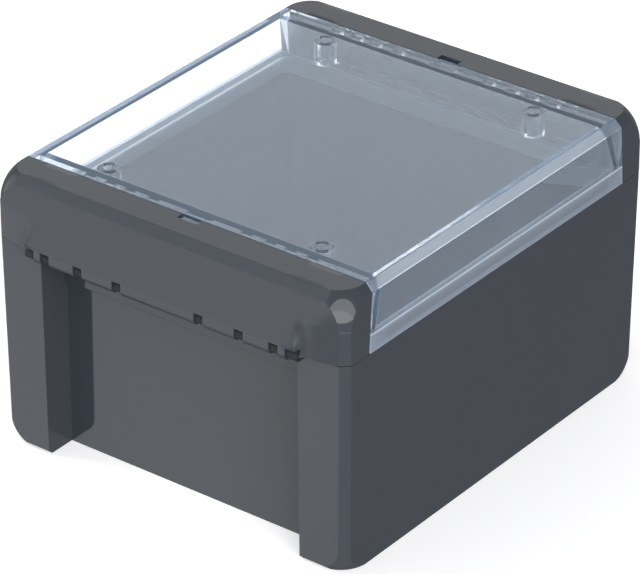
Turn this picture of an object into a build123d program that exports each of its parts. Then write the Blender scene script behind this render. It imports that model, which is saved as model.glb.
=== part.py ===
"""Hinged electrical enclosure: deep moulded tub with four corner posts, clear lid, and two flaps
that hinge on the tub at the parting line and close over the lid ends.

Millimetres. X across the flaps, Y from front flap to rear flap, Z up, origin under the middle.
Front features are written once and turned half a revolution about Z for the rear.
"""
import math
import os

from build123d import *

# Overall
width = 125.0               # tub and lid across X at the parting line
post_length = 144.4         # tub over the corner posts along Y at the parting line
height = 89.0
seam_z = 68.0               # parting line between tub and lid
draft = 0.6                 # degrees, outer walls lean inwards away from the parting line
edge_cut = 2.4              # chamfer round the outer edges
corner_arc = 8.0            # arc left on each face where an upper corner is rounded off
foot_reach = (9.2, 10.1, 8.15)      # ball that rounds a lower corner: centre in from the three faces
foot_ball = 12.3
far = 10.0                  # how far cutting shapes run past the faces they cut
bite = 0.5                  # how far joined shapes run into each other

# Tub
side_wall = 2.8
end_wall = 3.0
floor_thickness = 3.0
inner_corner = 4.0
post_width = 16.7
recess_depth = 11.0
band_thickness = 1.5        # thickened band along the top of the end wall
band_depth = 13.5
shelf_reach = 9.8           # shelf over the recess, out from the end wall
shelf_thickness = 2.2
shelf_drop = 0.05           # shelf below the parting line
foot_cut = 1.4
rim_cut = 0.35
post_hole = 4.5             # wall fixing through each post
post_channel = 8.4
post_floor = 6.0
hole_in_x = 8.5             # fixing hole from the outer faces of the post
hole_in_y = 5.8
rib_width = 1.0             # sealing rib on the rim
rib_height = 1.2
rib_inset = 0.1
floor_boss = 8.0
floor_boss_height = 6.0
floor_pilot = 3.4

# Hinge
axis_out = 2.1              # hinge axis outside the post face and above the parting line
axis_up = 0.3
barrel = 2.2                # radius of the flap's knuckles
lug_barrel = 1.7            # radius of the tub's lugs, set back from the flap's front
rod_radius = 1.2
running_gap = 0.06          # knuckle bore over the rod
seat_gap = 0.02             # lug bore over the rod
lug_width = 2.8
notch_width = 3.2
notch_height = 2.5          # notch tops above the parting line
lug_shares = (0.3266, 0.6421, 0.9105)   # lug places as shares of the knuckle row's half length
end_gap = 1.1               # knuckle row ends before the recess does
end_notch = 4.0             # wider notch past the end of the row, for the end lug
end_lug = 3.3
lug_slack = 0.3
arm_drop = 6.0              # arms of the middle lugs start this far below the parting line

# Flap
flare = 2.2                 # flap front leans out by this much past the hinge axis
top_depth = 9.2             # flat strip on top, inner edge to chamfer
top_cut = 2.6
lap = 12.1                  # inner top edge in from the post face
wing_lap = 10.3             # inner edge of the side wings at the parting line
skin = 2.0
wing_gap = 0.25             # wing over the post top
scoop_drop = 9.8            # finger scoops reach up to this far below the top
scoop_face = 1.8            # scoop surface outside the post face where it leaves the flared front
scoop_soft = 1.9            # hollow rounding at the foot of that step
scoop_lean = 2.4            # the step moves outwards by this much towards the parting line
flat_bulge = 0.08           # rise of the scoop face over its chord, as a share of its fall
soft_bulge = 0.25
pry_width = 7.2
pry_depth = 2.5
stiffener = 2.0
stiffener_height = 7.0

# Lid
lid_gap = 0.3               # to the flap's inner edge at the top
foot_gap = 0.75             # and at the parting line
lid_seat = 0.05             # lid foot over the rim
lid_skin = 2.4
lid_plate = 2.5
foot_height = 5.4           # thick foot of the lid walls
foot_thickness = 4.8
cavity_step = 1.6
cavity_pinch = 5.8          # end walls lean in by this much under the plate
groove_width = 2.0
groove_depth = 3.2
boss_outer = 7.0
boss_bore = 3.4
boss_in_x = 24.7
boss_in_y = 21.7
boss_length = 7.0
boss_blind = 1.2
tooth_width = 3.7
tooth_height = 1.4
tooth_places = (0.265, 0.40, 0.51, 0.63)        # as shares of the half width
tooth_middle = 9.0

half_width = width / 2
post_face = post_length / 2
inner_half_x = half_width - side_wall
recess_half = half_width - post_width
recess_wall_y = post_face - recess_depth
inner_half_y = recess_wall_y - end_wall
band_y = recess_wall_y + band_thickness
axis_y = post_face + axis_out
axis_z = seam_z + axis_up
front_face = axis_y + flare
skirt_half = recess_half - end_gap
rod_half = skirt_half + end_lug
flare_z = seam_z + notch_height
flap_inner_y = post_face - lap
flap_foot_y = post_face - wing_lap
lid_top_y = flap_inner_y - lid_gap
lid_foot_y = flap_foot_y - foot_gap
flange_top = seam_z + foot_height
flange_inner_x = half_width - foot_thickness
flange_inner_y = lid_foot_y - foot_thickness
boss_x = half_width - boss_in_x
boss_y = post_face - boss_in_y
lug_places = [share * skirt_half for share in lug_shares]


def block(x0, x1, y0, y1, z0, z1):
    """Box between two corners."""
    return Pos((x0 + x1) / 2, (y0 + y1) / 2, (z0 + z1) / 2) * Box(x1 - x0, y1 - y0, z1 - z0)


def across(points, x0, x1):
    """Solid with a YZ outline, extruded from x0 to x1."""
    wire = Polyline(*[(x0, y, z) for y, z in points], close=True)
    return extrude(Face(Wire(wire.edges())), amount=x1 - x0, dir=(1, 0, 0))


def along(points, y0, y1):
    """Solid with an XZ outline, extruded from y0 to y1."""
    wire = Polyline(*[(x, y0, z) for x, z in points], close=True)
    return extrude(Face(Wire(wire.edges())), amount=y1 - y0, dir=(0, 1, 0))


def barrel_at(x0, x1, radius):
    """Cylinder on the front hinge axis."""
    return Pos((x0 + x1) / 2, -axis_y, axis_z) * Rot(0, 90, 0) * Cylinder(radius, x1 - x0)


def turned(shape):
    """The same piece at the rear."""
    return Rot(0, 0, 180) * shape


def corner_tool(corner, signs, reach, ball):
    """Rounds one outer corner: all of the corner block that is outside a ball."""
    x, y, z = corner
    sx, sy, sz = signs
    cx, cy, cz = x - sx * reach[0], y - sy * reach[1], z - sz * reach[2]
    big = 6.0
    xs, ys, zs = sorted((cx, x + sx * big)), sorted((cy, y + sy * big)), sorted((cz, z + sz * big))
    return block(*xs, *ys, *zs) - Pos(cx, cy, cz) * Sphere(ball)


def seal_ring(outer_x, outer_y, wide, z0, z1):
    """Rectangular ring with rounded corners, measured at its outer edge."""
    outer = RectangleRounded(2 * outer_x, 2 * outer_y, inner_corner)
    inner = RectangleRounded(2 * (outer_x - wide), 2 * (outer_y - wide), inner_corner - wide / 2)
    return extrude(Pos(0, 0, z0) * (outer - inner), amount=z1 - z0)


lean = math.tan(math.radians(draft))
upper_reach = (corner_arc + edge_cut,) * 3
upper_ball = math.hypot(corner_arc + edge_cut, corner_arc)
bottom_half_x = width / 2 - seam_z * lean
bottom_half_y = post_length / 2 - seam_z * lean
top_half_x = width / 2 - (height - seam_z) * lean

# The sealing rib, the groove above it and the seal between them share one line
rib_outer_x = inner_half_x + rib_inset + rib_width
rib_outer_y = inner_half_y + rib_inset + rib_width
groove_outer_x = rib_outer_x + (groove_width - rib_width) / 2
groove_outer_y = rib_outer_y + (groove_width - rib_width) / 2

# Tub
body = extrude(Pos(0, 0, seam_z) * Rectangle(width, post_length), amount=-seam_z, taper=draft)
upright = [e for e in body.edges() if abs(e.tangent_at(0.5).Z) > 0.9]
body = chamfer(upright, edge_cut)
for sx in (-1, 1):
    for sy in (-1, 1):
        body -= corner_tool((sx * bottom_half_x, sy * bottom_half_y, 0), (sx, sy, -1), foot_reach, foot_ball)
for sy in (-1, 1):
    y_low, y_high = sorted((sy * recess_wall_y, sy * (post_face + far)))
    recess = block(-recess_half, recess_half, y_low, y_high, -far, seam_z + far)
    y_low, y_high = sorted((sy * (recess_wall_y - bite), sy * band_y))
    band = block(-recess_half, recess_half, y_low, y_high, seam_z - band_depth, seam_z - shelf_drop)
    y_low, y_high = sorted((sy * (recess_wall_y - bite), sy * (recess_wall_y + shelf_reach)))
    shelf_z = seam_z - shelf_drop
    shelf = block(-recess_half, recess_half, y_low, y_high, shelf_z - shelf_thickness, shelf_z)
    foot = [(sy * (bottom_half_y - foot_cut), 0), (sy * (bottom_half_y + far), foot_cut + far),
            (sy * (bottom_half_y + far), -far), (sy * (bottom_half_y - foot_cut), -far)]
    body = body - recess + band + shelf - across(foot, -half_width, half_width)
for sx in (-1, 1):
    rim = [(sx * (half_width - rim_cut), seam_z), (sx * (half_width + far), seam_z - rim_cut - far),
           (sx * (half_width + far), seam_z + far), (sx * (half_width - rim_cut), seam_z + far)]
    body -= along(rim, -post_face, post_face)
inside = RectangleRounded(2 * inner_half_x, 2 * inner_half_y, inner_corner)
body -= extrude(Pos(0, 0, seam_z) * inside, amount=-(seam_z - floor_thickness), taper=draft)
body += seal_ring(rib_outer_x, rib_outer_y, rib_width, seam_z - 0.5, seam_z + rib_height)

for sx in (-1, 1):
    for sy in (-1, 1):
        place = Pos(sx * (half_width - hole_in_x), sy * (post_face - hole_in_y), 0)
        body -= place * Pos(0, 0, seam_z / 2) * Cylinder(post_hole / 2, seam_z + 2)
        depth = seam_z - post_floor
        body -= place * Pos(0, 0, post_floor + depth / 2) * Cylinder(post_channel / 2, depth)
        boss = Pos(sx * boss_x, sy * boss_y, floor_thickness + floor_boss_height / 2 - 0.5)
        body += boss * Cylinder(floor_boss / 2, floor_boss_height + 1)
        pilot = Pos(sx * boss_x, sy * boss_y, floor_thickness + floor_boss_height / 2 + 0.5)
        body -= pilot * Cylinder(floor_pilot / 2, floor_boss_height + 1)


def hinge_lug(x0, x1, root, drop):
    """Arm from the shelf or the post out to a round eye on the hinge axis."""
    arm = across([(-root, seam_z - drop), (-root, seam_z - shelf_drop), (-(axis_y - barrel), seam_z - shelf_drop),
                  (-(axis_y - lug_slack), axis_z + lug_barrel - 0.1),
                  (-(axis_y - lug_slack), axis_z - lug_barrel + 0.1)], x0, x1)
    return arm + barrel_at(x0, x1, lug_barrel)


lugs = [hinge_lug(s * x - lug_width / 2, s * x + lug_width / 2, band_y - bite, arm_drop)
        for x in lug_places for s in (-1, 1)]
for s in (-1, 1):
    x0, x1 = sorted((s * (skirt_half + lug_slack), s * (skirt_half + lug_slack + end_lug)))
    lugs.append(hinge_lug(x0, x1, post_face - bite, lug_barrel - axis_up))
for lug in lugs:
    body += lug
    body += turned(lug)
bore = barrel_at(-rod_half - bite, rod_half + bite, rod_radius + seat_gap)
body = body - bore - turned(bore)
base_housing = body

# Hinge rods
front_hinge_rod = barrel_at(-rod_half, rod_half, rod_radius)
rod_ends = [e for e in front_hinge_rod.edges() if e.geom_type == GeomType.CIRCLE]
front_hinge_rod = chamfer(rod_ends, 0.3)
rear_hinge_rod = turned(front_hinge_rod)

# Flap, modelled at the front: solid outline, hollowed from below and behind
strip_y = flap_inner_y + top_depth
chamfer_y, chamfer_z = strip_y + top_cut, height - top_cut
flare_slope = (front_face - chamfer_y) / (chamfer_z - flare_z)
seam_front = front_face + (notch_height - wing_gap) * flare_slope
outline = [(-flap_inner_y, height), (-strip_y, height), (-chamfer_y, chamfer_z),
           (-seam_front, seam_z + wing_gap), (-flap_foot_y, seam_z + wing_gap),
           (-flap_inner_y - wing_gap, height - edge_cut)]
flap = across(outline, -half_width, half_width)


def leaning_sides(y0, y1):
    """What lies outside the leaning side faces and the chamfers along them, above the parting line."""
    outside = Part()
    for sx in (-1, 1):
        outside += along([(sx * half_width, seam_z), (sx * (half_width + far), seam_z),
                          (sx * (half_width + far), height + 1), (sx * (top_half_x - lean), height + 1)], y0, y1)
        outside += along([(sx * (top_half_x - edge_cut), height), (sx * (top_half_x + 1), height + 1),
                          (sx * (top_half_x + 1), height - edge_cut - 1)], y0, y1)
    return outside


flap -= leaning_sides(-front_face - far, -flap_inner_y + far)


def scoop(z, wall_x, foot_y, end_y, bulge):
    """Region in front of the scoop at one height: a wall facing the corner, a hollow rounding at its
    foot, and a face that falls back to the post's plane at the corner."""
    soft_x, soft_y = wall_x + scoop_soft, foot_y + scoop_soft
    nick = scoop_soft * (1 - math.sqrt(0.5))
    end_x = half_width - edge_cut
    middle_x, middle_y = (soft_x + end_x) / 2, (foot_y + end_y) / 2 + (foot_y - end_y) * bulge
    outer_y, outer_x = front_face + far, half_width + far
    line = [Line((wall_x, -outer_y, z), (wall_x, -soft_y, z)),
            ThreePointArc((wall_x, -soft_y, z), (wall_x + nick, -foot_y - nick, z), (soft_x, -foot_y, z)),
            ThreePointArc((soft_x, -foot_y, z), (middle_x, -middle_y, z), (end_x, -end_y, z)),
            Line((end_x, -end_y, z), (outer_x, -end_y, z)),
            Line((outer_x, -end_y, z), (outer_x, -outer_y, z)),
            Line((outer_x, -outer_y, z), (wall_x, -outer_y, z))]
    return Face(Wire([edge.edge() for edge in line]))


scoop_z = height - scoop_drop
scoop_rise = scoop_z - seam_z
wall_x = recess_half + 0.5
wall_low = wall_x + scoop_lean * (1 + far / scoop_rise)
foot_high = chamfer_y + (chamfer_z - scoop_z) * flare_slope - 0.1
lower_scoop = loft([scoop(seam_z - far, wall_low, post_face + scoop_face, post_face, flat_bulge),
                    scoop(scoop_z, wall_x, foot_high, post_face, soft_bulge)])
upper_scoop = loft([scoop(scoop_z, wall_x, foot_high, post_face, soft_bulge),
                    scoop(chamfer_z, wall_x, chamfer_y - 0.02, chamfer_y - 0.04, soft_bulge)])
scoops = lower_scoop + upper_scoop
scoops = scoops + mirror(scoops, Plane.YZ)
flap -= scoops

# Upright corner chamfers and rounded upper corners
corners = Part()
for sx in (-1, 1):
    plan = [(sx * (half_width - edge_cut), -post_face), (sx * half_width, -post_face + edge_cut),
            (sx * (half_width + far), -post_face + edge_cut), (sx * (half_width + far), -front_face - far),
            (sx * (half_width - edge_cut), -front_face - far)]
    wire = Polyline(*[(x, y, seam_z - 5) for x, y in plan], close=True)
    corners += extrude(Face(Wire(wire.edges())), amount=height - seam_z + far, dir=(0, 0, 1))
    corners += corner_tool((sx * top_half_x, -post_face, height), (sx, -1, 1), upper_reach, upper_ball)
flap -= corners

# Hollow, kept a skin away from the scoops and corners
inner_seam = front_face + notch_height * flare_slope
inner_front = [(-flap_inner_y + far, seam_z - far), (-flap_inner_y + far, height - skin),
               (-strip_y + 0.4, height - skin), (-chamfer_y + skin, chamfer_z - 0.5),
               (-inner_seam + skin, seam_z), (-inner_seam + skin, seam_z - far)]
hollow_half = half_width - skin - 0.3
hollow = across(inner_front, -hollow_half, hollow_half)
for sx in (-1, 1):
    reach = corner_tool((sx * (top_half_x - skin), skin - post_face, height - skin), (sx, -1, 1),
                        upper_reach, upper_ball)
    hollow -= reach
for sx in (-1, 1):
    plan = [(sx * (wall_x - skin), -front_face - far), (sx * (wall_x - skin), -(post_face + scoop_face - skin)),
            (sx * (half_width - edge_cut - 0.8 * skin), -(post_face - skin)),
            (sx * (half_width + far), -(post_face - skin)), (sx * (half_width + far), -front_face - far)]
    wire = Polyline(*[(x, y, seam_z - far) for x, y in plan], close=True)
    hollow -= extrude(Face(Wire(wire.edges())), amount=height - seam_z + far, dir=(0, 0, 1))
flap -= hollow
for x in lug_places:
    for s in (-1, 1):
        x0, x1 = sorted((s * x - stiffener / 2, s * x + stiffener / 2))
        under = height - skin
        rib = across([(-(strip_y - 5.8), under - stiffener_height), (-(strip_y - 5.8), under + bite),
                      (-strip_y, under + bite), (-chamfer_y + bite, chamfer_z - 1),
                      (-front_face + skin + bite, flare_z + 4)], x0, x1)
        flap += rib
flap += block(-pry_width * 1.2, pry_width * 1.2, -strip_y, -(strip_y - 4.8), height - skin - 4, height - skin + bite)

# Knuckles: the barrel row between the lugs, joined to the flap front
flap -= block(-skirt_half, skirt_half, -front_face - far, -flap_inner_y, seam_z - far, axis_z)
outline = [(-front_face, flare_z + 2), (-front_face, axis_z), (-axis_y + 0.2, axis_z - 0.2),
           (-axis_y + barrel, axis_z), (-axis_y + barrel, flare_z - 0.2), (-axis_y, flare_z + 2)]
row = across(outline, -skirt_half, skirt_half) + barrel_at(-skirt_half, skirt_half, barrel)
gaps = [(s * x - notch_width / 2, s * x + notch_width / 2) for x in lug_places for s in (-1, 1)]
gaps += [(skirt_half, skirt_half + end_notch), (-skirt_half - end_notch, -skirt_half)]
for gap in gaps:
    opening = block(*gap, -front_face - far, -flap_inner_y, seam_z - far, flare_z)
    row -= opening
    flap -= opening
trim = across([(-front_face - 3, flare_z + 3), (-front_face - 3, flare_z - far), (-front_face, flare_z - far),
               (-front_face, flare_z), (-front_face + 3 * flare_slope, flare_z + 3)], -half_width, half_width)
flap += row - trim
shave = across([(-front_face - 3, flare_z), (-front_face - 3, flare_z - far), (-front_face, flare_z - far),
                (-front_face, flare_z)], -skirt_half, skirt_half)
flap -= shave
flap -= barrel_at(-rod_half - bite, rod_half + bite, rod_radius + running_gap)
# Each knuckle is open towards the tub so that the flap snaps over the rod
flap -= block(-skirt_half - lug_slack, skirt_half + lug_slack, -axis_y, -axis_y + 2 * barrel,
              axis_z - 0.8 * rod_radius, axis_z + 0.8 * rod_radius)
flap -= block(-pry_width / 2, pry_width / 2, -flap_inner_y - pry_depth, -flap_inner_y + far,
              height - skin - 1, height + 1)
front_flap = flap
rear_flap = turned(front_flap)

# Lid: outer shape with leaning sides and ends
lid_base = seam_z + lid_seat
lid_outline = [(-lid_foot_y, lid_base), (-lid_top_y - 0.1, height - 2.2), (-lid_top_y, height),
               (lid_top_y, height), (lid_top_y + 0.1, height - 2.2), (lid_foot_y, lid_base)]
lid = across(lid_outline, -half_width, half_width) - leaning_sides(-lid_foot_y - far, lid_foot_y + far)
lower = RectangleRounded(2 * flange_inner_x, 2 * flange_inner_y, inner_corner - 1)
lid -= extrude(Pos(0, 0, lid_base - 1) * lower, amount=flange_top - lid_base + 1)
cavity_x = half_width - lid_skin
cavity_top = height - lid_plate
cavity_foot_y = flange_inner_y + cavity_step
cavity_top_y = lid_top_y - cavity_pinch
room = across([(-cavity_foot_y, flange_top), (-cavity_top_y, cavity_top), (cavity_top_y, cavity_top),
               (cavity_foot_y, flange_top)], -cavity_x, cavity_x)
for sx in (-1, 1):
    room -= along([(sx * cavity_x, flange_top), (sx * (cavity_x + far), flange_top),
                   (sx * (cavity_x + far), cavity_top + far), (sx * (cavity_x - edge_cut - 1), cavity_top + far),
                   (sx * (cavity_x - edge_cut), cavity_top)], -lid_foot_y, lid_foot_y)
lid -= room
under_x = cavity_x - 1.5
for sy in (-1, 1):
    under = [(sy * (cavity_top_y + lid_skin), cavity_top), (sy * (lid_top_y + far), cavity_top),
             (sy * (lid_top_y + far), flange_top - 0.8), (sy * (cavity_foot_y + lid_skin), flange_top - 0.8)]
    lid -= across(under, -under_x, under_x)
    y0, y1 = sorted((sy * (cavity_top_y + lid_skin - bite), sy * (lid_top_y - 0.4)))
    teeth = [(s * share * half_width - tooth_width / 2, s * share * half_width + tooth_width / 2)
             for share in tooth_places for s in (-1, 1)] + [(-tooth_middle / 2, tooth_middle / 2)]
    for x0, x1 in teeth:
        lid += block(x0, x1, y0, y1, cavity_top - tooth_height, cavity_top + bite)
lid -= seal_ring(groove_outer_x, groove_outer_y, groove_width, lid_base - 1, lid_base + groove_depth)
boss_top = height - boss_blind
boss_bottom = cavity_top - boss_length
for sx in (-1, 1):
    for sy in (-1, 1):
        place = Pos(sx * boss_x, sy * boss_y, 0)
        lid += place * Pos(0, 0, (boss_bottom + boss_top) / 2) * Cylinder(boss_outer / 2, boss_top - boss_bottom)
        lid -= place * Pos(0, 0, (boss_bottom + boss_top) / 2 - 1) * Cylinder(boss_bore / 2, boss_top - boss_bottom)
tongue = block(-pry_width / 2 + lid_gap, pry_width / 2 - lid_gap, -flap_inner_y - pry_depth + 2 * lid_gap,
               -lid_top_y + bite, cavity_top, height - 1)
lid = lid + tongue + turned(tongue)

# Seal: fills the groove down to the rib
lid_gasket = seal_ring(groove_outer_x, groove_outer_y, groove_width, seam_z + rib_height, lid_base + groove_depth)

parts = {
    "base_housing": base_housing,
    "front_hinge_rod": front_hinge_rod,
    "rear_hinge_rod": rear_hinge_rod,
    "lid": lid,
    "lid_gasket": lid_gasket,
    "front_flap": front_flap,
    "rear_flap": rear_flap,
}

os.makedirs("parts", exist_ok=True)
for name, shape in parts.items():
    export_step(shape, f"parts/{name}.step")
    box = shape.bounding_box()
    print(name, len(shape.solids()), round(shape.volume), [round(v, 2) for v in (*box.min, *box.max)])
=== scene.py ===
"""Studio scene for the electrical enclosure: materials, light and camera."""

import math
from collections import namedtuple

import bmesh
import bpy
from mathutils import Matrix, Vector

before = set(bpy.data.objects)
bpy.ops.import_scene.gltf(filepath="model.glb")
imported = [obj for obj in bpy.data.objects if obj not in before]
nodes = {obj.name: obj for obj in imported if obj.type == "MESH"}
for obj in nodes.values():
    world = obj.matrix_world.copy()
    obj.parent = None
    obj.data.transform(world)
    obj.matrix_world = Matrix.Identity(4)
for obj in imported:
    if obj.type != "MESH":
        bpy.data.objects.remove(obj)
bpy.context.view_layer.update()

MM = 0.001
WHITE = (1.0, 1.0, 1.0)
POLYCARBONATE_IOR = 1.585

# Where a finish, a painted light or a painted shade changes, in mm: OUT is a distance from a middle
# plane, UP a height over the underside.
# A pair is the span over which a mask rises. Two pairs are the spans of its rise and its fall.
LUG_OUT = (72.3, 72.5)
LUG_UP = (66.0, 66.4)
RECESS_OUT = (61.3, 61.8)
RECESS_SIDE_OUT = ((45.6, 45.7), (45.9, 46.0))
SCOOP_UP = (69.5, 71.5)
BLUNT_OUT = ((40.0, 44.0), (51.0, 53.0))
DULL_OUT = ((38.0, 46.0), (49.0, 56.0))
DULL_UP = (SCOOP_UP, (74.0, 82.0))
PLATE_UP = (86.0, 86.4)
LID_SIDE_OUT = (61.2, 61.9)
LID_END_OUT = (53.0, 54.0)
CHAMFER_OUT = (59.9, 60.1)
CHAMFER_UP = (86.5, 86.8)
TEETH_OUT = (54.0, 55.0)
TEETH_UP = (84.0, 84.4)
FOOT_TOP_UP = (73.4, 73.6)
LEDGE_UP = ((73.2, 73.4), (73.9, 74.1))
SEAL_HIGHLIGHT_UP = (70.7, 70.8)
# The lid's four bosses: their middles, and the span of radii over which their finish ends
BOSS_X, BOSS_Y = 37.8, 50.5
BOSS_RIM = (3.6, 3.8)


class Wire:
    """A node socket that can be used in sums."""

    def __init__(self, shader, socket):
        self.shader, self.socket = shader, socket

    def __add__(self, other):
        return self.shader.maths("ADD", self, other)

    def __radd__(self, other):
        return self.shader.maths("ADD", other, self)

    def __sub__(self, other):
        return self.shader.maths("SUBTRACT", self, other)

    def __rsub__(self, other):
        return self.shader.maths("SUBTRACT", other, self)

    def __mul__(self, other):
        return self.shader.maths("MULTIPLY", self, other)

    def __rmul__(self, other):
        return self.shader.maths("MULTIPLY", other, self)

    def __abs__(self):
        return self.shader.maths("ABSOLUTE", self)


class Shader:
    """A material or world under construction."""

    def __init__(self, tree):
        self.tree = tree
        tree.nodes.clear()

    def node(self, kind, inputs=None, output=0, **settings):
        """Adds one node: its settings first, then the values or links of its sockets."""
        made = self.tree.nodes.new(kind)
        for name, value in settings.items():
            setattr(made, name, value)
        for name, value in (inputs or {}).items():
            socket = made.inputs[name]
            if isinstance(value, Wire):
                self.tree.links.new(value.socket, socket)
            elif socket.type == "RGBA":
                socket.default_value = (*value, 1.0)
            else:
                socket.default_value = value
        return Wire(self, made.outputs[output])

    def maths(self, operation, *values):
        return self.node("ShaderNodeMath", dict(enumerate(values)), operation=operation)

    def place(self):
        """Place on the object, in metres from its origin."""
        return self.node("ShaderNodeTexCoord", output="Object")

    def axis(self, vector, number):
        return self.node("ShaderNodeSeparateXYZ", {0: vector}, output=number)

    def dot(self, one, other):
        return self.node("ShaderNodeVectorMath", {0: one, 1: other}, output="Value",
                         operation="DOT_PRODUCT")

    def noise(self, where, scale, detail):
        return self.node("ShaderNodeTexNoise", {"Vector": where, "Scale": scale, "Detail": detail})

    def ramp(self, value, low, high):
        """Eased step from 0 at the low value to 1 at the high one."""
        return self.node("ShaderNodeMapRange", {0: value, 1: low, 2: high},
                         interpolation_type="SMOOTHSTEP")

    def step(self, value, span):
        """Eased step from 0 to 1 over a span in mm."""
        return self.ramp(value, span[0] * MM, span[1] * MM)

    def band(self, value, rise, fall):
        """1 between two spans in mm and 0 beyond them."""
        return self.step(value, rise) * (1.0 - self.step(value, fall))

    def between(self, amount, low, high):
        """The low colour at amount 0 and the high one at 1."""
        return self.node("ShaderNodeMix", {0: amount, 6: low, 7: high}, output=2, data_type="RGBA")

    def rounded_normal(self, radius, samples):
        """The surface's normal with its edges rounded to a radius in mm."""
        return self.node("ShaderNodeBevel", {"Radius": radius * MM}, samples=samples)

    def ray(self, kind):
        """1 for the rays of one kind, such as Camera, Reflection or Transmission."""
        return self.node("ShaderNodeLightPath", output=f"Is {kind} Ray")

    def principled(self, inputs):
        return self.node("ShaderNodeBsdfPrincipled", inputs)

    def glow(self, strength):
        return self.node("ShaderNodeEmission", {"Color": WHITE, "Strength": strength})

    def mix(self, amount, first, second):
        """The first surface at amount 0 and the second at 1."""
        return self.node("ShaderNodeMixShader", {0: amount, 1: first, 2: second})

    def finish(self, surface, kind="ShaderNodeOutputMaterial"):
        end = self.tree.nodes.new(kind)
        self.tree.links.new(surface.socket, end.inputs["Surface"])


def material(name):
    made = bpy.data.materials.new(name)
    made.use_nodes = True
    return made, Shader(made.node_tree)


# Graphite grey: the two ends of its drift, then painted light on walls that light bounces onto, and
# painted shade in deep notches
GRAPHITE = ((0.033, 0.039, 0.051), (0.037, 0.044, 0.056))
BOUNCE_LIT_GRAPHITE = (0.043, 0.048, 0.056)
PAINTED_SHADE_GRAPHITE = (0.030, 0.033, 0.038)
# Roughness of the polish, its drift, and what a duller finish adds
POLISH, POLISH_DRIFT, DULLING = 0.05, 0.02, 0.2
# Radii in mm of the edges' rounded normals
EDGE_RADIUS, BLUNT_RADIUS = 0.22, 3.0


def grey_moulding(name, shade=None, painted_bounce=None, softness=None):
    """Graphite grey moulded polycarbonate with a polished tool finish and faint flow marks.
    Masks: shade for painted shade in places that light hardly reaches, lift for painted light on walls
    that light bounces onto, softness for blunt edges."""
    made, s = material(name)
    where = s.place()
    colour = s.between(s.noise(where, scale=14.0, detail=3.0), *GRAPHITE)
    if painted_bounce:
        # Painted light: walls made paler and greyer where light bounces onto them
        colour = s.between(painted_bounce(s, where), colour, BOUNCE_LIT_GRAPHITE)
    rough = POLISH + POLISH_DRIFT * s.noise(where, scale=90.0, detail=3.0)
    normal = s.rounded_normal(EDGE_RADIUS, samples=6)
    if softness:
        blunt, dull = softness(s, where)
        normal = s.between(blunt, normal, s.rounded_normal(BLUNT_RADIUS, samples=8))
        rough = rough + DULLING * dull
    surface = s.principled({
        "Base Color": colour, "Roughness": rough, "IOR": POLYCARBONATE_IOR, "Normal": normal})
    if shade:
        # Painted shade: a darker, duller grey mixed in where the shade mask is 1
        dark = s.principled({"Base Color": PAINTED_SHADE_GRAPHITE, "Roughness": 0.4, "Specular IOR Level": 0.1})
        surface = s.mix(shade(s, where), surface, dark)
    s.finish(surface)
    return made


def painted_lug_shade(s, where):
    """Painted shade on the tub's hinge lugs, deep in the flaps' notches."""
    return s.step(abs(s.axis(where, 1)), LUG_OUT) * s.step(s.axis(where, 2), LUG_UP)


def recess_sides_painted_bounce(s, where):
    """Painted light on the side walls of the tub's two recesses: paler and greyer, for light bounced onto
    them from the panel between them.
    """
    wall = s.band(abs(s.axis(where, 0)), *RECESS_SIDE_OUT)
    return wall * s.step(abs(s.axis(where, 1)), RECESS_OUT)


def scoop_softness(s, where):
    """The flaps' finger scoops: a mask for their blunt rims and one for their duller finish."""
    x, z = abs(s.axis(where, 0)), s.axis(where, 2)
    blunt = s.band(x, *BLUNT_OUT) * s.step(z, SCOOP_UP)
    dull = s.band(x, *DULL_OUT) * s.band(z, *DULL_UP)
    return blunt, dull


CLEAR = (0.95, 0.975, 1.0)
# Painted light in the clear plastic, a faint gleam that stands for the light seen inside it: how much
# there is, what each zone adds, and its colours
PAINTED_GLEAM, PAINTED_GLEAM_DRIFT, CHAMFER_PAINTED_GLEAM = 0.10, 0.02, 0.86
ADDED_PAINTED_GLEAM = {"side": 0.06, "end": 0.05, "foot": 0.46, "boss": -0.08}
BACKLIT_PAINTED_GLEAM = (0.45, 0.55, 0.70)
WALL_TINT = (0.40, 0.56, 0.74)
TINTS = {
    "plate": (0.12, 0.28, 0.46),
    "chamfer": (0.23, 0.27, 0.32),
    "foot": (0.47, 0.53, 0.62),
    # Colour of the painted highlights along the edges and the ledge over the foot
    "painted_highlight": (0.88, 0.92, 0.96),
}
# How strongly the painted highlights on the edges and the ledge over the foot show, and how much less the
# edges do at the teeth
PAINTED_HIGHLIGHT_STRENGTH, TEETH_LESS = 0.8, 0.4
# Cosine between the rounded normal and the surface's own: of a full edge, and of none
EDGE_TURN = (0.90, 0.995)
CLEAR_EDGE_RADIUS = 0.2


def edge_mask(s, radius, turn):
    """0 on flat faces, 1 along edges, from how far a rounded normal turns away from the surface's own."""
    own = s.node("ShaderNodeNewGeometry", output="Normal")
    return 1.0 - s.ramp(s.dot(s.rounded_normal(radius, samples=8), own), *turn)


def boss_mask(s, x, y):
    """The four tubular bosses."""
    across, along = x - BOSS_X * MM, y - BOSS_Y * MM
    inner, outer = [(radius * MM) ** 2 for radius in BOSS_RIM]
    return 1.0 - s.ramp(across * across + along * along, inner, outer)


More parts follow.
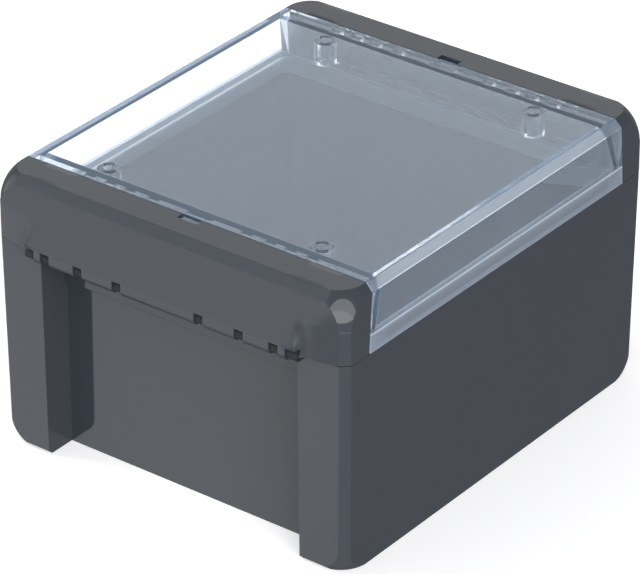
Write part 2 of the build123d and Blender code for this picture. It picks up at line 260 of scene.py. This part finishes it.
def lid_zones(s, where):
    """Masks for the zones of the lid that look different."""
    x, y, z = abs(s.axis(where, 0)), abs(s.axis(where, 1)), s.axis(where, 2)
    below_plate = 1.0 - s.step(z, PLATE_UP)
    side = s.step(x, LID_SIDE_OUT)
    chamfer = s.step(x, CHAMFER_OUT) * s.step(z, CHAMFER_UP)
    teeth = s.step(y, TEETH_OUT) * s.step(z, TEETH_UP)
    # Painted highlights along the edges and along the ledge over the foot
    ledge = side * s.band(z, *LEDGE_UP)
    edge = edge_mask(s, CLEAR_EDGE_RADIUS, EDGE_TURN) * (PAINTED_HIGHLIGHT_STRENGTH - TEETH_LESS * teeth)
    return {
        "plate": (1.0 - below_plate) * (1.0 - chamfer),
        "side": side,
        "end": s.step(y, LID_END_OUT) * below_plate,
        "foot": 1.0 - s.step(z, FOOT_TOP_UP),
        "boss": boss_mask(s, x, y) * below_plate,
        "chamfer": chamfer,
        "painted_highlight": s.maths("MAXIMUM", edge, PAINTED_HIGHLIGHT_STRENGTH * ledge),
    }


def clear_moulding():
    """Clear polished polycarbonate. A faint blue gleam is painted light, standing for the light the eye
    picks up
    inside the plastic: little through the top and the bosses, more in the side and end walls, the foot
    and the chamfer, and most along the edges and the ledge over the foot, where it is painted as
    highlights."""
    made, s = material("clear_polycarbonate")
    where = s.place()
    zones = lid_zones(s, where)
    glass = s.principled({
        "Base Color": CLEAR, "Roughness": 0.0, "IOR": POLYCARBONATE_IOR, "Transmission Weight": 1.0})
    amount = PAINTED_GLEAM + PAINTED_GLEAM_DRIFT * s.noise(where, scale=8.0, detail=2.0)
    for zone, added in ADDED_PAINTED_GLEAM.items():
        amount = amount + added * zones[zone]
    amount = amount + zones["chamfer"] * (CHAMFER_PAINTED_GLEAM - amount)
    amount = amount + zones["painted_highlight"] * (1.0 - amount)
    tint = WALL_TINT
    for zone, colour in TINTS.items():
        tint = s.between(zones[zone], tint, colour)
    lit = s.principled({"Base Color": tint, "Roughness": 0.5, "Specular IOR Level": 0.0})
    through = s.node("ShaderNodeBsdfTranslucent", {"Color": BACKLIT_PAINTED_GLEAM})
    # Half of the painted gleam lets light through, but none of it on the flat top
    painted_gleam = s.mix(0.5 - 0.5 * zones["plate"], lit, through)
    s.finish(s.mix(amount, glass, painted_gleam))
    return made


# The foam's two ends of colour, the painted highlight on its upper edge, and the depth of its pits in mm
FOAM = ((0.14, 0.16, 0.18), (0.20, 0.22, 0.24))
FOAM_PAINTED_HIGHLIGHT = (0.85, 0.88, 0.90)
FOAM_PITS = 0.1


def foam_seal():
    """Grey foamed seal with a painted highlight along its upper edge."""
    made, s = material("foam_seal")
    where = s.place()
    grain = s.noise(where, scale=1800.0, detail=4.0)
    colour = s.between(s.step(s.axis(where, 2), SEAL_HIGHLIGHT_UP), s.between(grain, *FOAM), FOAM_PAINTED_HIGHLIGHT)
    bump = s.node("ShaderNodeBump", {"Strength": 0.3, "Distance": FOAM_PITS * MM, "Height": grain})
    s.finish(s.principled({"Base Color": colour, "Roughness": 0.75 + 0.1 * grain, "Normal": bump}))
    return made


STEEL = ((0.50, 0.51, 0.53), (0.64, 0.65, 0.67))
# Scale along the rod, then across it, so that the lines run lengthwise
DRAWN_SCALE = (20.0, 900.0, 900.0)


def drawn_steel():
    """Drawn rod: fine lines along its length."""
    made, s = material("drawn_steel")
    stretched = s.node("ShaderNodeMapping", {"Vector": s.place(), "Scale": DRAWN_SCALE})
    lines = s.noise(stretched, scale=4.0, detail=3.0)
    colour = s.between(lines, *STEEL)
    s.finish(s.principled({"Base Color": colour, "Metallic": 1.0, "Roughness": 0.22 + 0.12 * lines}))
    return made


def dress(node, made):
    """Gives a CAD node its material."""
    mesh = nodes[node].data
    if not mesh.materials:
        mesh.materials.append(made)
    for i in range(len(mesh.materials)):
        mesh.materials[i] = made


dress("base_housing", grey_moulding("tub_polycarbonate", shade=painted_lug_shade, painted_bounce=recess_sides_painted_bounce))
flap_plastic = grey_moulding("flap_polycarbonate", softness=scoop_softness)
dress("front_flap", flap_plastic)
dress("rear_flap", flap_plastic)
dress("lid", clear_moulding())
dress("lid_gasket", foam_seal())
steel = drawn_steel()
dress("front_hinge_rod", steel)
dress("rear_hinge_rod", steel)


# Levels of the surroundings: for direct light, for the camera, and for rays through clear plastic
LIGHT_LEVEL = 0.72
CAMERA_LEVEL = 1.0
CLEAR_LEVEL = 2.3
# A reflected ray meets a dim room with soft panels and a lamp. Directions and angles are in degrees:
# a panel keeps its level to the inner angle from its middle, and fades to nothing at the outer one.
Panel = namedtuple("Panel", "azimuth elevation inner outer level")
ROOM_LEVEL = 0.25
SOFT_PANELS = (
    Panel(azimuth=20, elevation=-30, inner=45, outer=80, level=0.26),
    Panel(azimuth=-60, elevation=-5, inner=32, outer=44, level=0.58),
    Panel(azimuth=-143, elevation=32, inner=12, outer=45, level=0.55),
    Panel(azimuth=-47, elevation=44, inner=10, outer=40, level=0.48),
)
# The lamp is round, and the second level is added to the first in its lower part
LAMP = Panel(azimuth=49, elevation=24, inner=28.5, outer=30.5, level=1.95)
LAMP_LOWER_PART = Panel(azimuth=40, elevation=-6, inner=32, outer=33, level=0.75)
FLOOR_COLOUR = (0.82, 0.82, 0.83)
FLOOR_GLOW = 0.42
# In metres, from the middle to each side
FLOOR_REACH = 6.0
# Middle of the object, in mm
LIGHTS_AIM = (0.0, 0.0, 45.0)


def direction(azimuth, elevation):
    """Unit vector from the object; azimuth 0 is the front, growing to the right."""
    a, e = math.radians(azimuth), math.radians(elevation)
    return (math.sin(a) * math.cos(e), -math.cos(a) * math.cos(e), math.sin(e))


def floor_material():
    """Pale, with a glow for the camera alone, so that it looks white and keeps the shadow. Reflected
    rays pass through it to the surroundings, and rays through clear plastic meet plain white."""
    made, s = material("floor")
    diffuse = s.node("ShaderNodeBsdfDiffuse", {"Color": FLOOR_COLOUR})
    lit = s.node("ShaderNodeAddShader", {0: diffuse, 1: s.glow(FLOOR_GLOW * s.ray("Camera"))})
    seen = s.mix(s.ray("Reflection"), lit, s.node("ShaderNodeBsdfTransparent"))
    s.finish(s.mix(s.ray("Transmission"), seen, s.glow(CLEAR_LEVEL)))
    return made


def studio_floor():
    """Level floor under the part."""
    mesh = bpy.data.meshes.new("floor")
    bm = bmesh.new()
    bmesh.ops.create_grid(bm, x_segments=1, y_segments=1, size=FLOOR_REACH)
    bm.to_mesh(mesh)
    bm.free()
    floor = bpy.data.objects.new("floor", mesh)
    bpy.context.collection.objects.link(floor)
    mesh.materials.append(floor_material())


def studio_world():
    """Pale surroundings, white to the camera, with four soft panels and a round lamp for reflections."""
    world = bpy.data.worlds.new("studio")
    bpy.context.scene.world = world
    world.use_nodes = True
    s = Shader(world.node_tree)
    ray = s.node("ShaderNodeTexCoord", output="Generated")

    def shape(panel):
        """1 on a panel and 0 off it."""
        near = s.dot(ray, direction(panel.azimuth, panel.elevation))
        return s.ramp(near, math.cos(math.radians(panel.outer)), math.cos(math.radians(panel.inner)))

    mirrored = ROOM_LEVEL
    for panel in SOFT_PANELS:
        mirrored = mirrored + panel.level * shape(panel)
    lamp_level = LAMP.level + LAMP_LOWER_PART.level * shape(LAMP_LOWER_PART)
    mirrored = mirrored + shape(LAMP) * lamp_level
    level = (LIGHT_LEVEL + s.ray("Reflection") * (mirrored - LIGHT_LEVEL)
             + (CAMERA_LEVEL - LIGHT_LEVEL) * s.ray("Camera")
             + (CLEAR_LEVEL - LIGHT_LEVEL) * s.ray("Transmission"))
    back = s.node("ShaderNodeBackground", {"Color": WHITE, "Strength": level})
    s.finish(back, "ShaderNodeOutputWorld")


def stand_off(thing, aim, azimuth, elevation, distance):
    """Places a lamp or camera at a distance in metres from a point given in mm, facing it."""
    back = Vector(direction(azimuth, elevation))
    thing.location = Vector(aim) * MM + back * distance
    thing.rotation_mode = "QUATERNION"
    thing.rotation_quaternion = (-back).to_track_quat("-Z", "Y")
    bpy.context.collection.objects.link(thing)


def softbox(name, azimuth, elevation, distance, size, power):
    """Square soft light aimed at the middle of the object."""
    data = bpy.data.lights.new(name, "AREA")
    data.shape, data.size, data.energy = "SQUARE", size, power
    lamp = bpy.data.objects.new(name, data)
    stand_off(lamp, LIGHTS_AIM, azimuth, elevation, distance)
    # Glossy rays and rays through clear plastic meet the world instead of the lamps
    lamp.visible_glossy = False
    lamp.visible_transmission = False


def photo_camera():
    """The photograph's viewpoint."""
    data = bpy.data.cameras.new("camera")
    data.sensor_width = 36.0
    data.lens = 251.94
    data.shift_x, data.shift_y = -0.0041, 0.0014
    data.clip_start, data.clip_end = 0.05, 30.0
    camera = bpy.data.objects.new("camera", data)
    stand_off(camera, aim=(1.215, -2.197, 40.611), azimuth=37.262, elevation=29.726, distance=1.30369)
    bpy.context.scene.camera = camera


studio_floor()
studio_world()
softbox("key", azimuth=-75, elevation=50, distance=1.6, size=0.6, power=10.0)
softbox("fill", azimuth=60, elevation=15, distance=1.5, size=0.8, power=14.0)
photo_camera()
bpy.context.scene.view_settings.view_transform = "Standard"
